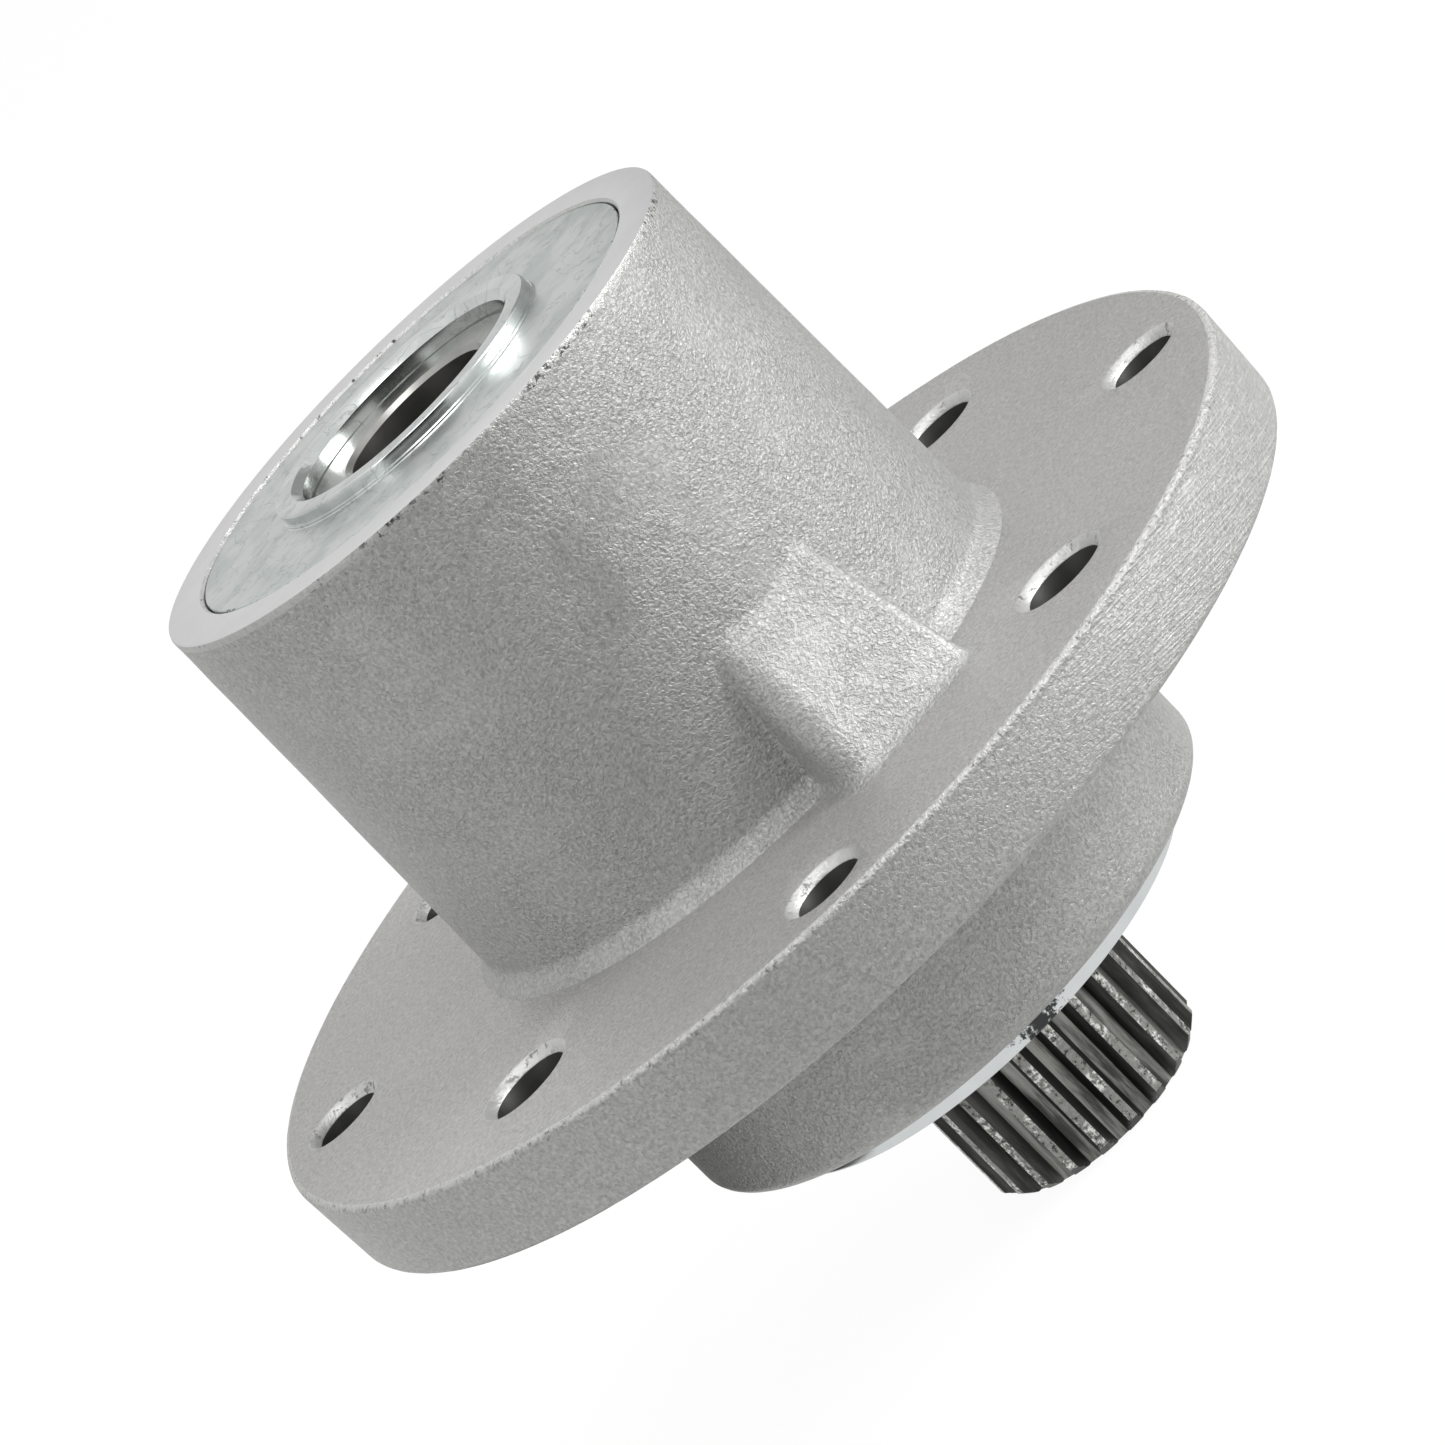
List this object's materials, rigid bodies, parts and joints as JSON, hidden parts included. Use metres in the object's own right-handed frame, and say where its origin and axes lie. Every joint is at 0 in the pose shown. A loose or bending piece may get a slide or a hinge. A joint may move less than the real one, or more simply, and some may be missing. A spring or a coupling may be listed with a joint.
{
  "type": "mower deck spindle",
  "caption": "Round-flanged mower deck spindle: cast housing, two sealed ball bearings and a splined shaft that turns freely.",
  "frame": {"origin": "centre of the lower face of the flange, on the spindle axis", "axes": "+Z along the spindle axis towards the long barrel; one of the smaller bolt holes lies on -Y"},
  "size_m": [0.1613, 0.1614, 0.1326],
  "materials": {
    "cast_aluminium": "shot-blasted casting, matte",
    "shaft_steel": "turned and hobbed, lightly oiled",
    "zinc_plate": "bright zinc plate, satin",
    "spring_steel": "phosphated",
    "bearing_steel": "ground and polished",
    "cage_steel": "pressed sheet",
    "seal_rubber": "matte"
  },
  "bodies": {
    "housing": {"housing": "cast_aluminium", "upper_retaining_ring": "spring_steel", "lower_retaining_ring": "spring_steel", "upper_outer_race": "bearing_steel", "upper_seal_top": "seal_rubber", "upper_seal_bottom": "seal_rubber", "lower_outer_race": "bearing_steel", "lower_seal_top": "seal_rubber", "lower_seal_bottom": "seal_rubber"},
    "shaft": {"spindle_shaft": "shaft_steel", "inner_spacer": "shaft_steel", "upper_inner_race": "bearing_steel", "lower_inner_race": "bearing_steel", "upper_dust_shield": "zinc_plate", "lower_dust_shield": "zinc_plate"},
    "upper_ball_set": {"upper_balls": "bearing_steel", "upper_cage_top": "cage_steel", "upper_cage_bottom": "cage_steel", "upper_cage_rivets": "cage_steel"},
    "lower_ball_set": {"lower_balls": "bearing_steel", "lower_cage_top": "cage_steel", "lower_cage_bottom": "cage_steel", "lower_cage_rivets": "cage_steel"}
  },
  "joints": [
    {"name": "shaft_spin", "type": "hinge", "parent": "housing", "child": "shaft", "pos_m": [0, 0, 0], "axis": [0, 0, 1], "continuous": true},
    {"name": "upper_ball_set_spin", "type": "hinge", "parent": "housing", "child": "upper_ball_set", "pos_m": [0, 0, 0.0607], "axis": [0, 0, 1], "continuous": true},
    {"name": "lower_ball_set_spin", "type": "hinge", "parent": "housing", "child": "lower_ball_set", "pos_m": [0, 0, -0.0148], "axis": [0, 0, 1], "continuous": true}
  ],
  "couplings": [
    {"joint": "upper_ball_set_spin", "follows": "shaft_spin", "ratio": 0.39615},
    {"joint": "lower_ball_set_spin", "follows": "shaft_spin", "ratio": 0.39615}
  ]
}
